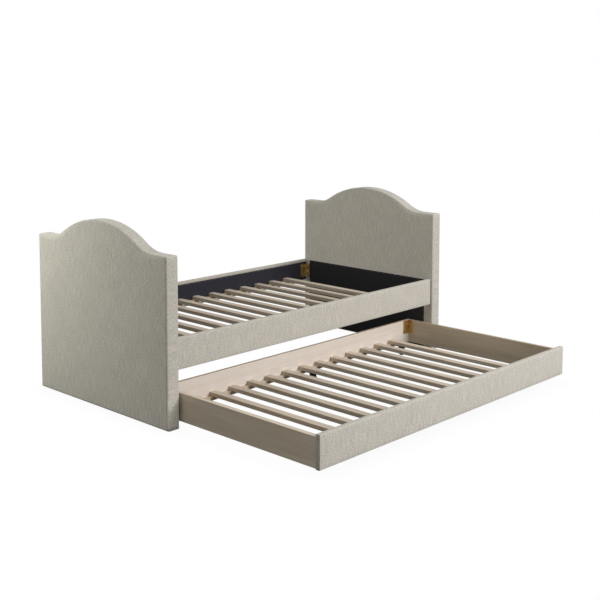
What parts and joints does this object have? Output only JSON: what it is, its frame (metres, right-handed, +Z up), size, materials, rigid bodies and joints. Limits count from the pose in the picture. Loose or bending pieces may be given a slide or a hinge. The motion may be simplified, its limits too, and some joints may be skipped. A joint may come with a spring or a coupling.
{
  "type": "trundle bed",
  "caption": "Twin daybed with camelback upholstered head and foot panels, low upholstered rails, a slatted deck, and a slatted trundle box on casters that rolls out from under it.",
  "frame": {"origin": "on the floor at the middle of the footprint, with the trundle pulled out", "axes": "+X along the bed's length, -Y is the side the trundle rolls out of, +Z up"},
  "size_m": [2.116, 1.931, 0.944],
  "materials": {
    "linen_cloth": "woven linen-look upholstery cloth over thin foam",
    "dust_cover": "black non-woven dust cover",
    "lining": "black lining cloth",
    "frame_timber": "unfinished frame timber and plywood",
    "slat_wood": "planed pale solid wood",
    "board_wood": "pale wood veneer board, satin",
    "zinc_plate": "yellow zinc plated steel",
    "fastener_steel": "yellow zinc plated steel",
    "caster_steel": "black powder coat",
    "axle_steel": "bright steel",
    "wheel_plastic": "moulded black nylon",
    "glide_plastic": "moulded black plastic"
  },
  "bodies": {
    "bed_frame": {"left_end_core": "frame_timber", "right_end_core": "frame_timber", "left_end_upholstery": "linen_cloth", "right_end_upholstery": "linen_cloth", "left_end_dust_cover": "dust_cover", "right_end_dust_cover": "dust_cover", "floor_glides": "glide_plastic", "front_rail_board": "frame_timber", "rear_rail_board": "frame_timber", "front_rail_upholstery": "linen_cloth", "rear_rail_upholstery": "linen_cloth", "front_rail_lining": "lining", "rear_rail_lining": "lining", "bed_slat_cleats": "slat_wood", "bed_slat_01": "slat_wood", "bed_slat_02": "slat_wood", "bed_slat_03": "slat_wood", "bed_slat_04": "slat_wood", "bed_slat_05": "slat_wood", "bed_slat_06": "slat_wood", "bed_slat_07": "slat_wood", "bed_slat_08": "slat_wood", "bed_slat_09": "slat_wood", "bed_slat_10": "slat_wood", "bed_slat_11": "slat_wood", "bed_slat_12": "slat_wood", "bed_slat_13": "slat_wood", "bed_corner_angles": "zinc_plate", "bed_bolts": "fastener_steel", "bed_screws": "fastener_steel"},
    "trundle": {"trundle_front_board": "frame_timber", "trundle_front_upholstery": "linen_cloth", "trundle_front_lining": "lining", "trundle_rear_board": "board_wood", "trundle_left_board": "board_wood", "trundle_right_board": "board_wood", "trundle_slat_cleats": "slat_wood", "trundle_slat_01": "slat_wood", "trundle_slat_02": "slat_wood", "trundle_slat_03": "slat_wood", "trundle_slat_04": "slat_wood", "trundle_slat_05": "slat_wood", "trundle_slat_06": "slat_wood", "trundle_slat_07": "slat_wood", "trundle_slat_08": "slat_wood", "trundle_slat_09": "slat_wood", "trundle_slat_10": "slat_wood", "trundle_slat_11": "slat_wood", "trundle_slat_12": "slat_wood", "trundle_slat_13": "slat_wood", "trundle_corner_angles": "zinc_plate", "trundle_screws": "fastener_steel", "caster_forks": "caster_steel", "caster_axles": "axle_steel"},
    "caster_wheel_1": {"caster_wheel_1": "wheel_plastic"},
    "caster_wheel_2": {"caster_wheel_2": "wheel_plastic"},
    "caster_wheel_3": {"caster_wheel_3": "wheel_plastic"},
    "caster_wheel_4": {"caster_wheel_4": "wheel_plastic"},
    "caster_wheel_5": {"caster_wheel_5": "wheel_plastic"},
    "caster_wheel_6": {"caster_wheel_6": "wheel_plastic"}
  },
  "joints": [
    {"name": "trundle_slide", "type": "slide", "parent": "bed_frame", "child": "trundle", "axis": [0, 1, 0], "range_m": [-0.2, 0.881]},
    {"name": "wheel_1_spin", "type": "hinge", "parent": "trundle", "child": "caster_wheel_1", "pos_m": [-0.7728, -0.8595, 0.024], "axis": [1, 0, 0], "continuous": true},
    {"name": "wheel_2_spin", "type": "hinge", "parent": "trundle", "child": "caster_wheel_2", "pos_m": [-0.7728, -0.0225, 0.024], "axis": [1, 0, 0], "continuous": true},
    {"name": "wheel_3_spin", "type": "hinge", "parent": "trundle", "child": "caster_wheel_3", "pos_m": [0, -0.8595, 0.024], "axis": [1, 0, 0], "continuous": true},
    {"name": "wheel_4_spin", "type": "hinge", "parent": "trundle", "child": "caster_wheel_4", "pos_m": [0, -0.0225, 0.024], "axis": [1, 0, 0], "continuous": true},
    {"name": "wheel_5_spin", "type": "hinge", "parent": "trundle", "child": "caster_wheel_5", "pos_m": [0.7728, -0.8595, 0.024], "axis": [1, 0, 0], "continuous": true},
    {"name": "wheel_6_spin", "type": "hinge", "parent": "trundle", "child": "caster_wheel_6", "pos_m": [0.7728, -0.0225, 0.024], "axis": [1, 0, 0], "continuous": true}
  ],
  "couplings": [
    {"joint": "wheel_1_spin", "follows": "trundle_slide", "rad_per_m": -41.667},
    {"joint": "wheel_2_spin", "follows": "trundle_slide", "rad_per_m": -41.667},
    {"joint": "wheel_3_spin", "follows": "trundle_slide", "rad_per_m": -41.667},
    {"joint": "wheel_4_spin", "follows": "trundle_slide", "rad_per_m": -41.667},
    {"joint": "wheel_5_spin", "follows": "trundle_slide", "rad_per_m": -41.667},
    {"joint": "wheel_6_spin", "follows": "trundle_slide", "rad_per_m": -41.667}
  ]
}
